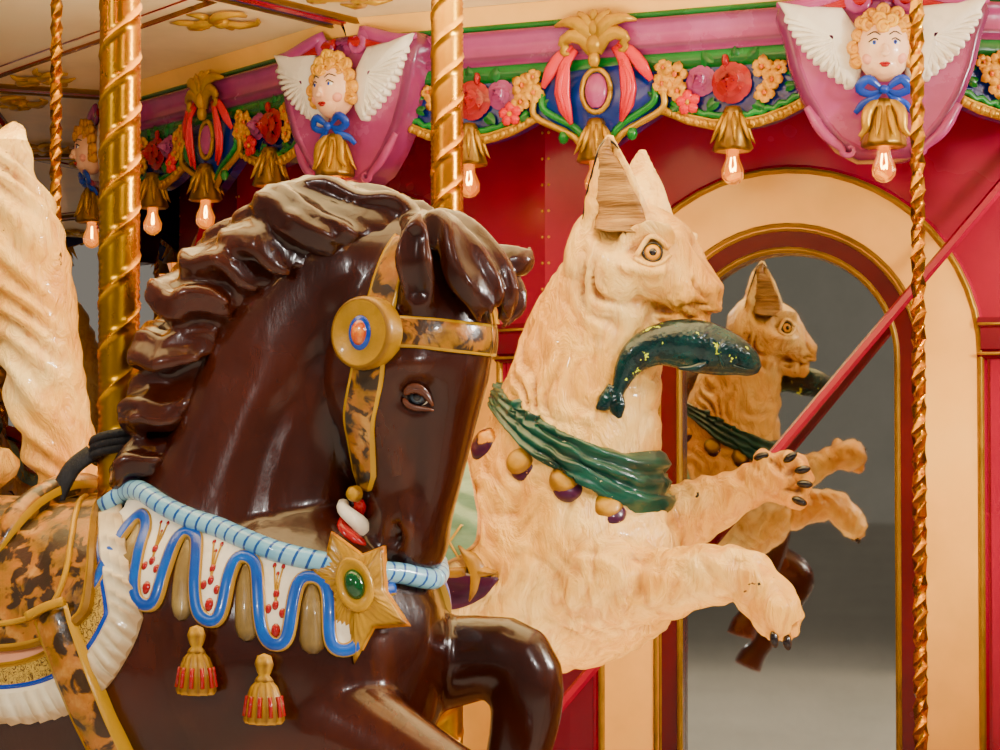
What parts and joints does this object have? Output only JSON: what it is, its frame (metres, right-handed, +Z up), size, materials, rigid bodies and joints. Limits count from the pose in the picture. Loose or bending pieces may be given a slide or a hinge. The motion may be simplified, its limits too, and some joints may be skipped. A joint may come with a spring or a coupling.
{
  "type": "fairground carousel",
  "caption": "Two-row carousel: mirrored centre drum, turning platform, carved boards and roof, with horses and cats that rise and fall on twisted poles.",
  "frame": {"origin": "on the turning axis, at ground level", "axes": "+Z up along the turning axis; -Y runs out along the first sweep"},
  "size_m": [8.74, 8.74, 4.53],
  "materials": {
    "black_iron": "satin black paint on rolled steel",
    "crimson_iron": "gloss dark red paint",
    "twist_brass": "polished twisted brass sleeve",
    "gilt_timber": "gold paint on turned wood",
    "crimson_panel": "gloss dark red paint on panels",
    "cream_panel": "cream paint with gilt scrolls",
    "carved_board": "many gloss colours over carved wood",
    "plain_timber": "plain board",
    "deck_timber": "worn varnished boards",
    "silver_mirror": "silvered glass",
    "horse_paint": "high gloss brown paint over carving",
    "cat_paint": "gloss cream paint over carving, chipped"
  },
  "bodies": {
    "base": {"ground_frame": "black_iron", "centre_mast": "black_iron", "drum_wall_1": "crimson_panel", "drum_wall_2": "crimson_panel", "drum_wall_3": "crimson_panel", "drum_wall_4": "crimson_panel", "drum_mirrors": "silver_mirror", "drum_top": "plain_timber"},
    "turntable": {"hub": "black_iron", "sweep_frame": "black_iron", "platform_frame": "black_iron", "inner_hangers": "twist_brass", "outer_hangers": "twist_brass", "roof_cap": "gilt_timber", "ceiling": "cream_panel", "inner_board": "carved_board", "outer_board": "carved_board", "roof": "crimson_panel", "platform_skirt": "crimson_panel", "deck_1": "deck_timber", "deck_2": "deck_timber", "deck_3": "deck_timber", "deck_4": "deck_timber", "tie_rod_1": "crimson_iron", "tie_rod_2": "crimson_iron", "tie_rod_3": "crimson_iron", "tie_rod_4": "crimson_iron", "tie_rod_5": "crimson_iron", "tie_rod_6": "crimson_iron"},
    "horse_1_jumper": {"horse_1": "horse_paint"},
    "horse_2_jumper": {"horse_2": "horse_paint"},
    "horse_3_jumper": {"horse_3": "horse_paint"},
    "horse_4_jumper": {"horse_4": "horse_paint"},
    "horse_5_jumper": {"horse_5": "horse_paint"},
    "horse_6_jumper": {"horse_6": "horse_paint"},
    "horse_7_jumper": {"horse_7": "horse_paint"},
    "horse_8_jumper": {"horse_8": "horse_paint"},
    "horse_9_jumper": {"horse_9": "horse_paint"},
    "horse_10_jumper": {"horse_10": "horse_paint"},
    "horse_11_jumper": {"horse_11": "horse_paint"},
    "horse_12_jumper": {"horse_12": "horse_paint"},
    "cat_1_jumper": {"cat_1": "cat_paint"},
    "cat_2_jumper": {"cat_2": "cat_paint"},
    "cat_3_jumper": {"cat_3": "cat_paint"},
    "cat_4_jumper": {"cat_4": "cat_paint"},
    "cat_5_jumper": {"cat_5": "cat_paint"},
    "cat_6_jumper": {"cat_6": "cat_paint"},
    "cat_7_jumper": {"cat_7": "cat_paint"},
    "cat_8_jumper": {"cat_8": "cat_paint"},
    "cat_9_jumper": {"cat_9": "cat_paint"},
    "cat_10_jumper": {"cat_10": "cat_paint"},
    "cat_11_jumper": {"cat_11": "cat_paint"},
    "cat_12_jumper": {"cat_12": "cat_paint"}
  },
  "joints": [
    {"name": "spin", "type": "hinge", "parent": "base", "child": "turntable", "pos_m": [0, 0, 0], "axis": [0, 0, 1], "continuous": true},
    {"name": "horse_1_lift", "type": "slide", "parent": "turntable", "child": "horse_1_jumper", "axis": [0, 0, 1], "range_m": [-0.15, 0.15]},
    {"name": "horse_2_lift", "type": "slide", "parent": "turntable", "child": "horse_2_jumper", "axis": [0, 0, 1], "range_m": [-0.15, 0.15]},
    {"name": "horse_3_lift", "type": "slide", "parent": "turntable", "child": "horse_3_jumper", "axis": [0, 0, 1], "range_m": [-0.15, 0.15]},
    {"name": "horse_4_lift", "type": "slide", "parent": "turntable", "child": "horse_4_jumper", "axis": [0, 0, 1], "range_m": [-0.15, 0.15]},
    {"name": "horse_5_lift", "type": "slide", "parent": "turntable", "child": "horse_5_jumper", "axis": [0, 0, 1], "range_m": [-0.15, 0.15]},
    {"name": "horse_6_lift", "type": "slide", "parent": "turntable", "child": "horse_6_jumper", "axis": [0, 0, 1], "range_m": [-0.15, 0.15]},
    {"name": "horse_7_lift", "type": "slide", "parent": "turntable", "child": "horse_7_jumper", "axis": [0, 0, 1], "range_m": [-0.15, 0.15]},
    {"name": "horse_8_lift", "type": "slide", "parent": "turntable", "child": "horse_8_jumper", "axis": [0, 0, 1], "range_m": [-0.15, 0.15]},
    {"name": "horse_9_lift", "type": "slide", "parent": "turntable", "child": "horse_9_jumper", "axis": [0, 0, 1], "range_m": [-0.15, 0.15]},
    {"name": "horse_10_lift", "type": "slide", "parent": "turntable", "child": "horse_10_jumper", "axis": [0, 0, 1], "range_m": [-0.15, 0.15]},
    {"name": "horse_11_lift", "type": "slide", "parent": "turntable", "child": "horse_11_jumper", "axis": [0, 0, 1], "range_m": [-0.15, 0.15]},
    {"name": "horse_12_lift", "type": "slide", "parent": "turntable", "child": "horse_12_jumper", "axis": [0, 0, 1], "range_m": [-0.15, 0.15]},
    {"name": "cat_1_lift", "type": "slide", "parent": "turntable", "child": "cat_1_jumper", "axis": [0, 0, 1], "range_m": [-0.15, 0.15]},
    {"name": "cat_2_lift", "type": "slide", "parent": "turntable", "child": "cat_2_jumper", "axis": [0, 0, 1], "range_m": [-0.15, 0.15]},
    {"name": "cat_3_lift", "type": "slide", "parent": "turntable", "child": "cat_3_jumper", "axis": [0, 0, 1], "range_m": [-0.15, 0.15]},
    {"name": "cat_4_lift", "type": "slide", "parent": "turntable", "child": "cat_4_jumper", "axis": [0, 0, 1], "range_m": [-0.15, 0.15]},
    {"name": "cat_5_lift", "type": "slide", "parent": "turntable", "child": "cat_5_jumper", "axis": [0, 0, 1], "range_m": [-0.15, 0.15]},
    {"name": "cat_6_lift", "type": "slide", "parent": "turntable", "child": "cat_6_jumper", "axis": [0, 0, 1], "range_m": [-0.15, 0.15]},
    {"name": "cat_7_lift", "type": "slide", "parent": "turntable", "child": "cat_7_jumper", "axis": [0, 0, 1], "range_m": [-0.15, 0.15]},
    {"name": "cat_8_lift", "type": "slide", "parent": "turntable", "child": "cat_8_jumper", "axis": [0, 0, 1], "range_m": [-0.15, 0.15]},
    {"name": "cat_9_lift", "type": "slide", "parent": "turntable", "child": "cat_9_jumper", "axis": [0, 0, 1], "range_m": [-0.15, 0.15]},
    {"name": "cat_10_lift", "type": "slide", "parent": "turntable", "child": "cat_10_jumper", "axis": [0, 0, 1], "range_m": [-0.15, 0.15]},
    {"name": "cat_11_lift", "type": "slide", "parent": "turntable", "child": "cat_11_jumper", "axis": [0, 0, 1], "range_m": [-0.15, 0.15]},
    {"name": "cat_12_lift", "type": "slide", "parent": "turntable", "child": "cat_12_jumper", "axis": [0, 0, 1], "range_m": [-0.15, 0.15]}
  ],
  "couplings": [
    {"joint": "horse_2_lift", "follows": "horse_1_lift", "ratio": -1},
    {"joint": "horse_3_lift", "follows": "horse_1_lift", "ratio": 1},
    {"joint": "horse_4_lift", "follows": "horse_1_lift", "ratio": -1},
    {"joint": "horse_5_lift", "follows": "horse_1_lift", "ratio": 1},
    {"joint": "horse_6_lift", "follows": "horse_1_lift", "ratio": -1},
    {"joint": "horse_7_lift", "follows": "horse_1_lift", "ratio": 1},
    {"joint": "horse_8_lift", "follows": "horse_1_lift", "ratio": -1},
    {"joint": "horse_9_lift", "follows": "horse_1_lift", "ratio": 1},
    {"joint": "horse_10_lift", "follows": "horse_1_lift", "ratio": -1},
    {"joint": "horse_11_lift", "follows": "horse_1_lift", "ratio": 1},
    {"joint": "horse_12_lift", "follows": "horse_1_lift", "ratio": -1},
    {"joint": "cat_1_lift", "follows": "horse_1_lift", "ratio": -1},
    {"joint": "cat_2_lift", "follows": "horse_1_lift", "ratio": 1},
    {"joint": "cat_3_lift", "follows": "horse_1_lift", "ratio": -1},
    {"joint": "cat_4_lift", "follows": "horse_1_lift", "ratio": 1},
    {"joint": "cat_5_lift", "follows": "horse_1_lift", "ratio": -1},
    {"joint": "cat_6_lift", "follows": "horse_1_lift", "ratio": 1},
    {"joint": "cat_7_lift", "follows": "horse_1_lift", "ratio": -1},
    {"joint": "cat_8_lift", "follows": "horse_1_lift", "ratio": 1},
    {"joint": "cat_9_lift", "follows": "horse_1_lift", "ratio": -1},
    {"joint": "cat_10_lift", "follows": "horse_1_lift", "ratio": 1},
    {"joint": "cat_11_lift", "follows": "horse_1_lift", "ratio": -1},
    {"joint": "cat_12_lift", "follows": "horse_1_lift", "ratio": 1}
  ]
}
